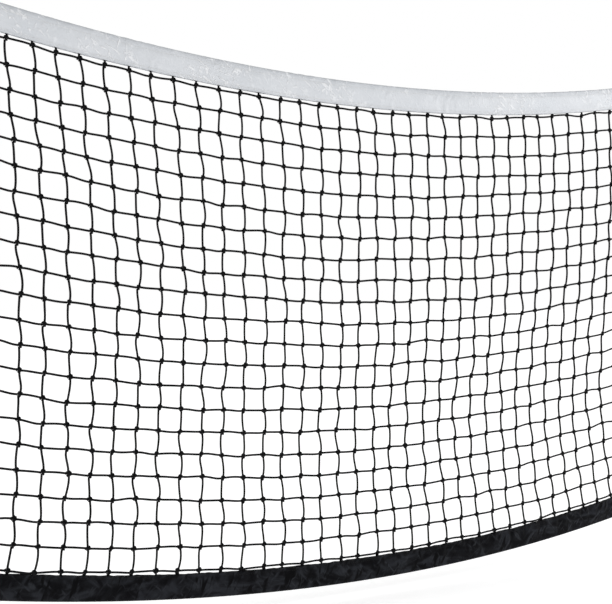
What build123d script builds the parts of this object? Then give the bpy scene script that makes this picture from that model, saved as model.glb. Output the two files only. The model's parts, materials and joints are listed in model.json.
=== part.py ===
from build123d import *
from math import asin, cos, degrees, radians, sin, sqrt
import os

# Tennis net, hung by the eyes of its headband cable. Millimetres, +X along the net, +Z up.
# The origin is half way between the two eyes, on the line that joins them.

# Netting: square mesh, counted in whole cells between the side bands and between the bands.
mesh_pitch = 45.0
mesh_drop = 45.6
mesh_columns = 64
mesh_rows = 21
twine_diameter = 3.6
netting_tuck = 20.0

# The net hangs in a circular sag, struck to the centre line of the headband cable.
sag_radius = 4200.0

# Vinyl bands, each folded double round the cord at its outer edge.
band_vinyl = 1.2
fold_radius = 3.0
headband_height = 52.0
bottom_band_height = 48.0
gap_below_headband = 5.5
gap_above_bottom_band = 7.0
bottom_band_setback = 24.0

# Side bands: a sewn flat that holds the netting's edge, and a round pocket for the dowel.
side_band_width = 60.0
flat_thickness = 5.8
netting_slot_width = 4.0
netting_slot_depth = 13.0
netting_slot_overrun = 2.0
netting_side_tuck = 12.0
pocket_radius = 7.25
pocket_vinyl = 1.0
pocket_end_gap = 2.0
side_seam_inset = 3.0
side_seam_end_gap = 4.0

# Dowels with push-on end caps.
dowel_radius = 6.35
cap_radius = 6.9
cap_cover = 20.0
cap_end = 2.0
cap_fillet = 1.2
dowel_top_gap = 10.0
dowel_bottom_gap = 2.0

# Headband cable: steel core in a vinyl jacket, bare where it is looped and swaged.
core_radius = 2.0
jacket_radius = 2.8
cable_leg = 45.0
sleeve_length = 26.0
sleeve_wall = 1.6
sleeve_fillet = 0.8
sleeve_gap = 2.0
leg_offset = 2.1
eye_bore_radius = 8.0
eye_groove_radius = 2.05
eye_cable_radius = 12.05
eye_flange_radius = 13.5
eye_width = 7.0
eye_fillet = 1.0
loop_shoulder_radius = 20.0

# Grommets in the side bands, for the lacing that ties the net to its post.
grommet_inset = 28.0
grommet_bore_radius = 5.0
grommet_barrel = 0.6
grommet_flange_radius = 8.5
grommet_flange = 0.8
grommet_count = 5
grommet_spacing = 200.0

# Corner patches on the headband, their rivets, and the sewing thread.
patch_length = 60.0
patch_vinyl = 1.0
patch_gap = 0.1
rivet_shank_radius = 2.0
rivet_hole_radius = 2.05
rivet_head_radius = 4.5
rivet_head = 1.3
rivet_fillet = 0.9
rivet_depth = 18.0
thread_radius = 0.4
thread_inset = 6.0
thread_end_gap = 2.0
upper_thread_depth = 8.0
bottom_cord_radius = 2.8
bottom_cord_end_gap = 2.0

# Room beyond the net for the shapes that trim and cut it.
cutter_width = 40.0
trim_width = 100.0
trim_height = 4000.0

# Sizes that follow from the ones above.
inner_half_width = mesh_pitch * mesh_columns / 2
half_width = inner_half_width + side_band_width
band_half_thickness = fold_radius + band_vinyl
fold_top = band_half_thickness
hem_radius = sag_radius + headband_height - fold_top
hang = gap_below_headband + mesh_drop * mesh_rows + gap_above_bottom_band
end_angle = asin(half_width / sag_radius)
shoulder_run = sqrt(
    (eye_cable_radius + loop_shoulder_radius) ** 2 - (leg_offset + loop_shoulder_radius) ** 2
)
tail = cable_leg + sleeve_length + sleeve_gap + shoulder_run
eye_x = half_width + tail * cos(end_angle) + leg_offset * sin(end_angle)
upper_centre = (sag_radius + leg_offset) * cos(end_angle) - tail * sin(end_angle)
lower_centre = upper_centre - hang
pocket_outer = pocket_radius + pocket_vinyl
pocket_x = half_width - pocket_outer
grommet_x = inner_half_width + grommet_inset
sweep_margin = radians(1.0)
sweep_start = -end_angle - sweep_margin


def arc_point(x, radius, centre):
    """The point at x on the sagging circle of this radius, as (x, z)."""
    return (x, centre - sqrt(radius**2 - x**2))


def section_plane(radius, angle, centre):
    """The plane square to the sagging circle at this angle: local x is +Y, local y is upwards."""
    origin = (radius * sin(angle), 0, centre - radius * cos(angle))
    return Plane(origin=origin, x_dir=(0, 1, 0), z_dir=(cos(angle), 0, sin(angle)))


def sag_axis(centre):
    """The axis that the sagging arcs turn about, from -X towards +X."""
    return Axis((0, 0, centre), (0, -1, 0))


def band_profile(plane, depth, direction):
    """A vinyl strip folded round a cord at the plane's origin; direction is -1 when it hangs down."""
    with BuildSketch(plane) as profile:
        Circle(band_half_thickness)
        with Locations((0, direction * depth / 2)):
            Rectangle(2 * band_half_thickness, depth)
        Circle(fold_radius, mode=Mode.SUBTRACT)
        with Locations((0, direction * depth / 2)):
            Rectangle(2 * fold_radius, depth, mode=Mode.SUBTRACT)
    return profile.sketch


def hanging_panel(left, right, top_radius, bottom_radius, thickness):
    """A flat panel between the two sagging circles, from x = left to x = right."""
    middle = (left + right) / 2
    top = [arc_point(x, top_radius, upper_centre) for x in (left, middle, right)]
    bottom = [arc_point(x, bottom_radius, lower_centre) for x in (left, middle, right)]
    with BuildPart() as panel:
        with BuildSketch(Plane.XZ.offset(-thickness / 2)):
            with BuildLine():
                ThreePointArc(*top)
                Line(top[2], bottom[2])
                ThreePointArc(*bottom)
                Line(bottom[0], top[0])
            make_face()
        extrude(amount=thickness)
    return panel.part


def write(part, name):
    part.label = name
    export_step(part, f"parts/{name}.step")


os.makedirs("parts", exist_ok=True)

# ---------------------------------------------------------------- headband
rivet_radius = sag_radius + rivet_depth
rivet_xs = [half_width - 0.75 * patch_length, half_width - 0.25 * patch_length]
along_y = (-90, 0, 0)


def rivet_places(side):
    """Where the corner patch's rivets cross the net's plane: side is -1 at the left, 1 at the right."""
    places = []
    for x in rivet_xs:
        x_z = arc_point(x, rivet_radius, upper_centre)
        places.append((side * x_z[0], 0, x_z[1]))
    return places


def full_sweep(centre, angle=-sweep_start):
    """Turns the sketch at the left end of a sagging arc through to the right end."""
    revolve(axis=sag_axis(centre), revolution_arc=degrees(2 * angle))


with BuildPart() as headband:
    add(band_profile(section_plane(sag_radius, sweep_start, upper_centre), hem_radius - sag_radius, -1))
    full_sweep(upper_centre)
    Box(2 * half_width, trim_width, trim_height, mode=Mode.INTERSECT)
    with Locations(*rivet_places(-1), *rivet_places(1)):
        Cylinder(rivet_hole_radius, cutter_width, rotation=along_y, mode=Mode.SUBTRACT)
write(headband.part, "headband")


def band_thread(radius, centre, half_length):
    """Two sewing threads along a folded band, one on each face."""
    angle = asin(half_length / radius)
    thread_y = band_half_thickness + thread_radius
    with BuildPart() as thread:
        with BuildSketch(section_plane(radius, -angle, centre)):
            with Locations((-thread_y, 0), (thread_y, 0)):
                Circle(thread_radius)
        full_sweep(centre, angle)
    return thread.part


thread_half_length = half_width - patch_length - thread_end_gap
upper_thread = band_thread(sag_radius + upper_thread_depth, upper_centre, thread_half_length)
write(upper_thread, "headband_upper_thread")
write(band_thread(hem_radius - thread_inset, upper_centre, thread_half_length), "headband_lower_thread")

# ---------------------------------------------------------------- bottom band
bottom_edge_radius = hem_radius + bottom_band_height
bottom_cord_line = bottom_edge_radius - band_half_thickness
bottom_half_width = half_width - bottom_band_setback

with BuildPart() as bottom_band:
    cord_section = section_plane(bottom_cord_line, sweep_start, lower_centre)
    add(band_profile(cord_section, bottom_cord_line - hem_radius, 1))
    full_sweep(lower_centre)
    Box(2 * bottom_half_width, trim_width, trim_height, mode=Mode.INTERSECT)
write(bottom_band.part, "bottom_band")

cord_angle = asin((bottom_half_width - bottom_cord_end_gap) / bottom_cord_line)
with BuildPart() as bottom_cord:
    with BuildSketch(section_plane(bottom_cord_line, -cord_angle, lower_centre)):
        Circle(bottom_cord_radius)
    full_sweep(lower_centre, cord_angle)
write(bottom_cord.part, "bottom_cord")

bottom_thread_half = bottom_half_width - side_seam_end_gap
bottom_thread = band_thread(hem_radius + thread_inset, lower_centre, bottom_thread_half)
write(bottom_thread, "bottom_band_thread")

# ---------------------------------------------------------------- netting
netting_half_width = inner_half_width + netting_side_tuck
panel_top = hem_radius - netting_tuck
panel_bottom = hem_radius + netting_tuck
netting = hanging_panel(-netting_half_width, netting_half_width, panel_top, panel_bottom, twine_diameter)
write(netting, "netting")

# ---------------------------------------------------------------- side bands, made on the right
pocket_top = arc_point(pocket_x - pocket_outer, hem_radius, upper_centre)[1] - pocket_end_gap
pocket_bottom = arc_point(pocket_x - pocket_outer, bottom_edge_radius, lower_centre)[1]
pocket_length = pocket_top - pocket_bottom
flat_outer = pocket_x - pocket_radius
slot_middle = inner_half_width + (netting_slot_depth - netting_slot_overrun) / 2
grommet_middle = (
    arc_point(grommet_x, hem_radius, upper_centre)[1] + arc_point(grommet_x, hem_radius, lower_centre)[1]
) / 2
grommet_places = []
for number in range(grommet_count):
    grommet_z = grommet_middle + (number - (grommet_count - 1) / 2) * grommet_spacing
    grommet_places.append((grommet_x, 0, grommet_z))
grommet_hole_radius = grommet_bore_radius + grommet_barrel

with BuildPart() as side_band:
    add(hanging_panel(inner_half_width, flat_outer, panel_top, panel_bottom, flat_thickness))
    with BuildSketch(Plane.XY.offset(pocket_bottom)):
        with Locations((pocket_x, 0)):
            Circle(pocket_outer)
    extrude(amount=pocket_length)
    with BuildSketch(Plane.XY.offset(pocket_bottom - trim_width)):
        with Locations((pocket_x, 0)):
            Circle(pocket_radius)
        with Locations((slot_middle, 0)):
            Rectangle(netting_slot_depth + netting_slot_overrun, netting_slot_width)
    extrude(amount=pocket_length + 3 * trim_width, mode=Mode.SUBTRACT)
    with Locations(*grommet_places):
        Cylinder(grommet_hole_radius, cutter_width, rotation=along_y, mode=Mode.SUBTRACT)

side_thread_xs = [inner_half_width + thread_inset, flat_outer - side_seam_inset]
side_thread_y = flat_thickness / 2 + thread_radius
with BuildPart() as side_thread:
    for x in side_thread_xs:
        thread_top = arc_point(x, hem_radius, upper_centre)[1] - side_seam_end_gap
        thread_bottom = arc_point(x, hem_radius, lower_centre)[1] + side_seam_end_gap
        with BuildSketch(Plane.XY.offset(thread_bottom)):
            with Locations((x, -side_thread_y), (x, side_thread_y)):
                Circle(thread_radius)
        extrude(amount=thread_top - thread_bottom)

flat_face_y = flat_thickness / 2
grommet_plane = Plane(origin=(0, 0, 0), x_dir=(1, 0, 0), z_dir=(0, 1, 0))
grommet_centres = [(x, -z) for x, y, z in grommet_places]
with BuildPart() as eyelets:
    with BuildSketch(grommet_plane.offset(-flat_face_y - grommet_flange)):
        with Locations(*grommet_centres):
            Circle(grommet_flange_radius)
            Circle(grommet_bore_radius, mode=Mode.SUBTRACT)
    extrude(amount=grommet_flange)
    with BuildSketch(grommet_plane.offset(-flat_face_y)):
        with Locations(*grommet_centres):
            Circle(grommet_hole_radius)
            Circle(grommet_bore_radius, mode=Mode.SUBTRACT)
    extrude(amount=flat_thickness + grommet_flange)

with BuildPart() as washers:
    with BuildSketch(grommet_plane.offset(flat_face_y)):
        with Locations(*grommet_centres):
            Circle(grommet_flange_radius)
            Circle(grommet_hole_radius, mode=Mode.SUBTRACT)
    extrude(amount=grommet_flange)

# ---------------------------------------------------------------- dowels and caps
dowel_top = pocket_top - dowel_top_gap - cap_end
dowel_bottom = pocket_bottom + dowel_bottom_gap + cap_end
with BuildPart() as dowel:
    with BuildSketch(Plane.XY.offset(dowel_bottom)):
        with Locations((pocket_x, 0)):
            Circle(dowel_radius)
    extrude(amount=dowel_top - dowel_bottom)


def dowel_cap(end_z, outward):
    """A cup pushed over the dowel's end at end_z; outward is 1 at the top and -1 at the bottom."""
    with BuildPart() as cap:
        with BuildSketch(Plane.XY.offset(end_z + outward * cap_end)):
            with Locations((pocket_x, 0)):
                Circle(cap_radius)
        extrude(amount=-outward * (cap_end + cap_cover))
        rims = cap.edges().filter_by(GeomType.CIRCLE).group_by(Axis.Z)
        fillet(rims[-1] if outward > 0 else rims[0], cap_fillet)
        with BuildSketch(Plane.XY.offset(end_z)):
            with Locations((pocket_x, 0)):
                Circle(dowel_radius)
        extrude(amount=-outward * (cap_cover + cap_end), mode=Mode.SUBTRACT)
    return cap.part


# ---------------------------------------------------------------- headband cable and its eyes
along = (cos(end_angle), 0, sin(end_angle))
across = (-sin(end_angle), 0, cos(end_angle))
eye = (eye_x, 0, 0)
eye_plane = Plane(origin=eye, x_dir=along, z_dir=(0, -1, 0))
shoulder_angle = degrees(asin(shoulder_run / (eye_cable_radius + loop_shoulder_radius)))
shoulder_height = leg_offset + loop_shoulder_radius
loop_half_turn = 90 + shoulder_angle
sleeve_far = -shoulder_run - sleeve_gap
sleeve_near = sleeve_far - sleeve_length

with BuildLine(Plane.XZ) as cable_arc:
    CenterArc((0, upper_centre), sag_radius, 270 - degrees(end_angle), 2 * degrees(end_angle))

with BuildLine(eye_plane) as jacket_leg:
    Line((-tail, leg_offset), (sleeve_near - sleeve_gap, leg_offset))

with BuildLine(eye_plane) as eye_loop:
    Line((-tail, leg_offset), (-shoulder_run, leg_offset))
    CenterArc((-shoulder_run, shoulder_height), loop_shoulder_radius, -90, shoulder_angle)
    CenterArc((0, 0), eye_cable_radius, loop_half_turn, -2 * loop_half_turn)
    CenterArc((-shoulder_run, -shoulder_height), loop_shoulder_radius, 90 - shoulder_angle, shoulder_angle)
    Line((-shoulder_run, -leg_offset), (sleeve_near, -leg_offset))

with BuildPart() as cable_core:
    with BuildLine() as core_line:
        add(cable_arc.line)
        add(eye_loop.line)
        mirror(eye_loop.line, about=Plane.YZ)
    core_wire = core_line.wires()[0]
    with BuildSketch(Plane(origin=core_wire @ 0, z_dir=core_wire % 0)):
        Circle(core_radius)
    sweep(path=core_wire)
write(cable_core.part, "cable_core")

with BuildPart() as cable_jacket:
    with BuildLine() as jacket_line:
        add(cable_arc.line)
        add(jacket_leg.line)
        mirror(jacket_leg.line, about=Plane.YZ)
    jacket_wire = jacket_line.wires()[0]
    with BuildSketch(Plane(origin=jacket_wire @ 0, z_dir=jacket_wire % 0)):
        Circle(jacket_radius)
        Circle(core_radius, mode=Mode.SUBTRACT)
    sweep(path=jacket_wire)
write(cable_jacket.part, "cable_jacket")

with BuildPart() as thimble:
    with BuildSketch(Plane(origin=eye, x_dir=along, z_dir=across)):
        with Locations(((eye_bore_radius + eye_flange_radius) / 2, 0)):
            Rectangle(eye_flange_radius - eye_bore_radius, eye_width)
        with Locations((eye_cable_radius, 0)):
            Circle(eye_groove_radius, mode=Mode.SUBTRACT)
        with Locations((eye_cable_radius + eye_groove_radius, 0)):
            Rectangle(2 * eye_groove_radius, 2 * eye_groove_radius, mode=Mode.SUBTRACT)
    revolve(axis=Axis(eye, (0, 1, 0)))
    bore_edges = thimble.edges().filter_by(GeomType.CIRCLE).sort_by(lambda edge: edge.radius)[:2]
    fillet(bore_edges, eye_fillet)

sleeve_origin = Vector(eye) + Vector(along) * sleeve_near
with BuildPart() as sleeve:
    with BuildSketch(Plane(origin=sleeve_origin, x_dir=across, z_dir=along)):
        SlotCenterToCenter(2 * leg_offset, 2 * (core_radius + sleeve_wall))
    extrude(amount=sleeve_length)
    fillet(sleeve.edges().filter_by(GeomType.CIRCLE), sleeve_fillet)
    with BuildSketch(Plane(origin=sleeve_origin, x_dir=across, z_dir=along)):
        with Locations((-leg_offset, 0), (leg_offset, 0)):
            Circle(core_radius)
    extrude(amount=sleeve_length, mode=Mode.SUBTRACT)

# ---------------------------------------------------------------- corner patches and rivets
patch_inside = band_half_thickness + patch_gap
patch_outside = patch_inside + patch_vinyl
patch_depth = hem_radius - sag_radius
with BuildPart() as patch:
    with BuildSketch(section_plane(sag_radius, sweep_start, upper_centre)):
        Circle(patch_outside)
        with Locations((0, -patch_depth / 2)):
            Rectangle(2 * patch_outside, patch_depth)
        Circle(patch_inside, mode=Mode.SUBTRACT)
        with Locations((0, -patch_depth / 2)):
            Rectangle(2 * patch_inside, patch_depth, mode=Mode.SUBTRACT)
    full_sweep(upper_centre)
    with Locations((half_width - patch_length / 2, 0, 0)):
        Box(patch_length, trim_width, trim_height, mode=Mode.INTERSECT)
    with Locations(*rivet_places(1)):
        Cylinder(rivet_hole_radius, cutter_width, rotation=along_y, mode=Mode.SUBTRACT)

with BuildPart() as rivets:
    with Locations(*rivet_places(1)):
        Cylinder(rivet_shank_radius, 2 * patch_outside, rotation=along_y)
    for place in rivet_places(1):
        for side in (-1, 1):
            head_centre = (place[0], side * (patch_outside + rivet_head / 2), place[2])
            with Locations(head_centre):
                Cylinder(rivet_head_radius, rivet_head, rotation=along_y)
    rims = rivets.edges().filter_by(GeomType.CIRCLE).group_by(Axis.Y)
    fillet(rims[0] + rims[-1], rivet_fillet)

# ---------------------------------------------------------------- right-hand pieces, and their mirror images
paired = {
    "side_band": side_band.part,
    "side_band_thread": side_thread.part,
    "grommet_eyelets": eyelets.part,
    "grommet_washers": washers.part,
    "dowel": dowel.part,
    "dowel_top_cap": dowel_cap(dowel_top, 1),
    "dowel_bottom_cap": dowel_cap(dowel_bottom, -1),
    "cable_thimble": thimble.part,
    "cable_sleeve": sleeve.part,
    "corner_patch": patch.part,
    "patch_rivets": rivets.part,
}
for name, piece in paired.items():
    write(piece, f"right_{name}")
    write(mirror(piece, about=Plane.YZ), f"left_{name}")
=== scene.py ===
import json
from math import asin, cos, pi, radians, sin, sqrt, tau

import bmesh
import bpy
import numpy as np
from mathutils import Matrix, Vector


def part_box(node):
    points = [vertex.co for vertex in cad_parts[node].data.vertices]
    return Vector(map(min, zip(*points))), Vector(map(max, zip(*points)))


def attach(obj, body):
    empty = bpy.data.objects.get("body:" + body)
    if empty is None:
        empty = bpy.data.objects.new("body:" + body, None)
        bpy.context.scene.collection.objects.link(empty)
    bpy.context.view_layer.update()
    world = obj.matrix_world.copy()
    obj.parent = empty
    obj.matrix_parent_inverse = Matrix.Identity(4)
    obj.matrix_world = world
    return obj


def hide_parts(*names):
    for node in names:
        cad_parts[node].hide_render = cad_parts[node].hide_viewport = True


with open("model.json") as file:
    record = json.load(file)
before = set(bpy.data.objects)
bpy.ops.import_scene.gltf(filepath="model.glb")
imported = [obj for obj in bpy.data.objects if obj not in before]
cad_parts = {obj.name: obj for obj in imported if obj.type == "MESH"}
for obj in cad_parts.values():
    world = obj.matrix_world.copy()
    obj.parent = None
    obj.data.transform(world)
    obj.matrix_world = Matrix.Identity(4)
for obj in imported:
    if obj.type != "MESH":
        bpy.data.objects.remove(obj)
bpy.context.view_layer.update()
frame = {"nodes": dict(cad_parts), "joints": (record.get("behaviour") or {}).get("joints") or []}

# ---------------------------------------------------------------- sizes, in metres
# The net's own sizes, as the CAD model has them.
SAG_RADIUS = 4.2
MESH_PITCH = 0.045
MESH_DROP = 0.0456
COLUMNS = 64
ROWS = 21
TWINE_RADIUS = 0.0021
GAP_BELOW_HEADBAND = 0.0055
FOLD_HALF = 0.0042
HEADBAND_DEPTH = 0.0478
BOTTOM_BAND_DEPTH = 0.0438
VINYL = 0.0012
PATCH_INNER_X = 1.44
STITCH_INSET = 0.006
UPPER_STITCH_DEPTH = 0.008
SIDE_FLAT_HALF = 0.0029
GROMMET_HIDDEN = 0.0072

# Places that come from the frame.
slide = next(j for j in frame["joints"] if j["name"] == "net_slides_on_cable")
UPPER_CENTRE = slide["pos_m"][2]
HEM_RADIUS = SAG_RADIUS + HEADBAND_DEPTH
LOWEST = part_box("bottom_band")[0].z
BOTTOM_CORD_RADIUS = HEM_RADIUS + BOTTOM_BAND_DEPTH
LOWER_CENTRE = LOWEST + BOTTOM_CORD_RADIUS + FOLD_HALF
HALF_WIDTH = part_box("headband")[1].x
BOTTOM_HALF_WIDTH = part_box("bottom_band")[1].x

TWINE_LAY = 0.009
THREAD_RADIUS = 0.0004
STITCH_PITCH = 0.005
STITCH_LENGTH = 0.0038
PANEL_COLUMNS = 8


def arc_height(x, radius, centre):
    """The height at x of the sagging circle of this radius."""
    return centre - np.sqrt(radius**2 - np.asarray(x) ** 2)


def smooth_step(value, low, high):
    t = np.clip((value - low) / (high - low), 0, 1)
    return t * t * (3 - 2 * t)


def bell(value, middle, width):
    return np.exp(-(((value - middle) / width) ** 2))


# ---------------------------------------------------------------- meshes
class Shape:
    """Points and faces gathered from several sweeps, with a (u, v) for each face corner."""

    def __init__(self):
        self.points = []
        self.faces = []
        self.uvs = []
        self.count = 0

    def add(self, points, faces, uvs):
        self.points.append(points)
        self.faces += [[corner + self.count for corner in face] for face in faces]
        self.uvs.append(uvs)
        self.count += len(points)

    def piece(self, name, body, slot, material):
        mesh = bpy.data.meshes.new(name)
        mesh.from_pydata(np.concatenate(self.points).tolist(), [], self.faces)
        layer = mesh.uv_layers.new(name="UVMap")
        layer.data.foreach_set("uv", np.concatenate(self.uvs).astype(np.float32).ravel())
        mesh.shade_smooth()
        mesh.materials.append(material)
        piece = bpy.data.objects.new(name, mesh)
        bpy.context.scene.collection.objects.link(piece)
        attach(piece, body)
        return piece


def unit(vectors):
    return vectors / np.linalg.norm(vectors, axis=-1, keepdims=True)


def sweep(paths, radii, sides, lay):
    """Round capped tubes along paths[tube, ring]; v counts lays along the tube and u goes once round it."""
    paths = np.asarray(paths, float)
    count, rings, _ = paths.shape
    tangents = unit(np.gradient(paths, axis=1))
    across = np.where(np.abs(tangents[:, 0, 1:2]) < 0.9, [[0.0, 1.0, 0.0]], [[1.0, 0.0, 0.0]])
    normals = np.empty_like(paths)
    for ring in range(rings):
        tangent = tangents[:, ring]
        across = unit(across - (across * tangent).sum(1, keepdims=True) * tangent)
        normals[:, ring] = across
    binormals = np.cross(tangents, normals)
    angles = np.arange(sides) * tau / sides
    circle = (
        normals[:, :, None] * np.cos(angles)[:, None] + binormals[:, :, None] * np.sin(angles)[:, None]
    )
    radii = np.broadcast_to(radii, (count, rings))
    points = (paths[:, :, None] + circle * radii[:, :, None, None]).reshape(-1, 3)

    side = np.arange(sides)
    beside = (side + 1) % sides
    start = (np.arange(count)[:, None] * rings + np.arange(rings - 1)).reshape(-1, 1) * sides
    quads = np.stack([start + side, start + beside, start + sides + beside, start + sides + side], -1)
    first = np.arange(count)[:, None] * rings * sides
    last = first + (rings - 1) * sides
    caps = np.concatenate([first + side[::-1], last + side])

    steps = np.linalg.norm(np.diff(paths, axis=1), axis=2)
    along = np.concatenate([np.zeros((count, 1)), np.cumsum(steps, axis=1)], axis=1) / lay
    v0 = np.broadcast_to(along[:, :-1, None], (count, rings - 1, sides))
    v1 = np.broadcast_to(along[:, 1:, None], (count, rings - 1, sides))
    u0 = np.broadcast_to(side / sides, v0.shape)
    u1 = u0 + 1 / sides
    quad_uvs = np.stack([u0, v0, u1, v0, u1, v1, u0, v1], -1).reshape(-1, 2)
    cap_uvs = np.zeros((2 * count * sides, 2))
    faces = quads.reshape(-1, 4).tolist() + caps.tolist()
    return points, faces, np.concatenate([quad_uvs, cap_uvs])


def smooth_path(controls, rings):
    """A Catmull-Rom curve through the control points, as this many evenly spaced points."""
    controls = np.asarray(controls, float)
    padded = np.concatenate([2 * controls[:1] - controls[1:2], controls, 2 * controls[-1:] - controls[-2:-1]])
    t = np.linspace(0, 1, 9)[:, None]
    fine = []
    for a, b, c, d in zip(padded, padded[1:], padded[2:], padded[3:]):
        square = 2 * a - 5 * b + 4 * c - d
        cube = 3 * b - a - 3 * c + d
        fine.append(0.5 * (2 * b + (c - a) * t + square * t**2 + cube * t**3))
    fine = np.concatenate(fine)
    run = np.concatenate([[0], np.cumsum(np.linalg.norm(np.diff(fine, axis=0), axis=1))])
    wanted = np.linspace(0, run[-1], rings)
    return np.stack([np.interp(wanted, run, fine[:, k]) for k in range(3)], -1)


def ripples(seed, count, shortest, longest, angles=(0, pi)):
    """A smooth random function of two lengths, about -1 to 1, made of plane waves."""
    rng = np.random.default_rng(seed)
    wave = tau / rng.uniform(shortest, longest, count)
    heading = rng.uniform(*angles, count)
    phase = rng.uniform(0, tau, count)

    def value(a, b):
        a, b = np.broadcast_arrays(a, b)
        total = np.zeros(a.shape)
        for w, h, p in zip(wave, heading, phase):
            total += np.sin(w * (a * cos(h) + b * sin(h)) + p)
        return total / sqrt(count / 2) * 0.6

    return value


# ---------------------------------------------------------------- materials
class Nodes:
    """A material's node tree, with short ways to add what these materials are made of."""

    def __init__(self, name, roughness, metallic=0.0, specular=0.5):
        self.material = bpy.data.materials.new(name)
        self.material.use_nodes = True
        self.tree = self.material.node_tree
        self.shader = self.tree.nodes["Principled BSDF"]
        self.shader.inputs["Roughness"].default_value = roughness
        self.shader.inputs["Metallic"].default_value = metallic
        self.shader.inputs["Specular IOR Level"].default_value = specular
        self.place = self.add("ShaderNodeTexCoord").outputs["Object"]
        self.height = None

    def add(self, kind, **values):
        node = self.tree.nodes.new(kind)
        for key, value in values.items():
            setattr(node, key, value)
        return node

    def link(self, output, target):
        self.tree.links.new(output, target)

    def noise(self, scale, detail=4.0, distortion=0.0, stretch=None):
        node = self.add("ShaderNodeTexNoise")
        node.inputs["Scale"].default_value = scale
        node.inputs["Detail"].default_value = detail
        node.inputs["Distortion"].default_value = distortion
        place = self.place
        if stretch:
            mapping = self.add("ShaderNodeMapping")
            mapping.inputs["Scale"].default_value = stretch
            self.link(place, mapping.inputs["Vector"])
            place = mapping.outputs["Vector"]
        self.link(place, node.inputs["Vector"])
        return node.outputs["Fac"]

    def streaks(self, lengths, turn, low, high):
        """Narrow streaks, 0 to 1, turned about Y; lengths are their size along, through and across."""
        mapping = self.add("ShaderNodeMapping", vector_type="TEXTURE")
        mapping.inputs["Rotation"].default_value = (0, turn, 0)
        mapping.inputs["Scale"].default_value = lengths
        self.link(self.place, mapping.inputs["Vector"])
        node = self.add("ShaderNodeTexNoise")
        node.inputs["Scale"].default_value = 1.0
        node.inputs["Detail"].default_value = 1.5
        node.inputs["Distortion"].default_value = 0.6
        self.link(mapping.outputs["Vector"], node.inputs["Vector"])
        limits = self.add("ShaderNodeMapRange", interpolation_type="SMOOTHSTEP")
        limits.inputs["From Min"].default_value = low
        limits.inputs["From Max"].default_value = high
        self.link(node.outputs["Fac"], limits.inputs["Value"])
        return limits.outputs["Result"]

    def cells(self, scale, stretch=(1, 1, 1)):
        mapping = self.add("ShaderNodeMapping")
        mapping.inputs["Scale"].default_value = stretch
        self.link(self.place, mapping.inputs["Vector"])
        node = self.add("ShaderNodeTexVoronoi")
        node.inputs["Scale"].default_value = scale
        self.link(mapping.outputs["Vector"], node.inputs["Vector"])
        return node.outputs["Distance"]

    def attribute(self, name):
        return self.add("ShaderNodeAttribute", attribute_name=name).outputs["Fac"]

    def math(self, operation, a, b=0.0, c=0.0):
        node = self.add("ShaderNodeMath", operation=operation)
        for socket, value in zip(node.inputs, (a, b, c)):
            if isinstance(value, (int, float)):
                socket.default_value = value
            else:
                self.link(value, socket)
        return node.outputs["Value"]

    def ramp(self, value, stops):
        """Colours by value: stops are (position, (r, g, b))."""
        node = self.add("ShaderNodeValToRGB")
        elements = node.color_ramp.elements
        while len(elements) < len(stops):
            elements.new(0.5)
        for element, (position, colour) in zip(elements, stops):
            element.position = position
            element.color = (*colour, 1)
        self.link(value, node.inputs["Fac"])
        return node.outputs["Color"]

    def mix(self, factor, a, b):
        node = self.add("ShaderNodeMix", data_type="RGBA")
        self.link(factor, node.inputs["Factor"])
        for socket, value in ((node.inputs["A"], a), (node.inputs["B"], b)):
            if isinstance(value, tuple):
                socket.default_value = (*value, 1)
            else:
                self.link(value, socket)
        return node.outputs["Result"]

    def span(self, value, low, high):
        """value, from about 0 to 1, spread from low to high."""
        node = self.add("ShaderNodeMapRange")
        node.inputs["From Min"].default_value = 0.25
        node.inputs["From Max"].default_value = 0.75
        node.inputs["To Min"].default_value = low
        node.inputs["To Max"].default_value = high
        self.link(value, node.inputs["Value"])
        return node.outputs["Result"]

    def bump(self, value, strength, distance):
        node = self.add("ShaderNodeBump")
        node.inputs["Strength"].default_value = strength
        node.inputs["Distance"].default_value = distance
        self.link(value, node.inputs["Height"])
        if self.height is not None:
            self.link(self.height, node.inputs["Normal"])
        self.height = node.outputs["Normal"]

    def finish(self, colour, roughness=None):
        self.link(colour, self.shader.inputs["Base Color"])
        if roughness is not None:
            self.link(roughness, self.shader.inputs["Roughness"])
        if self.height is not None:
            self.link(self.height, self.shader.inputs["Normal"])
        return self.material


def braid(nodes, pitch_u, pitch_v):
    """Height of a round braid on a swept tube: two sets of strands that cross, from the sweep's own UVs."""
    uv = nodes.add("ShaderNodeSeparateXYZ")
    nodes.link(nodes.add("ShaderNodeTexCoord").outputs["UV"], uv.inputs["Vector"])
    turns = nodes.math("MULTIPLY", uv.outputs["X"], pitch_u * tau)
    lays = nodes.math("MULTIPLY", uv.outputs["Y"], pitch_v * tau)
    one = nodes.math("SINE", nodes.math("ADD", turns, lays))
    other = nodes.math("SINE", nodes.math("SUBTRACT", turns, lays))
    return nodes.math("MAXIMUM", one, other)


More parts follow.
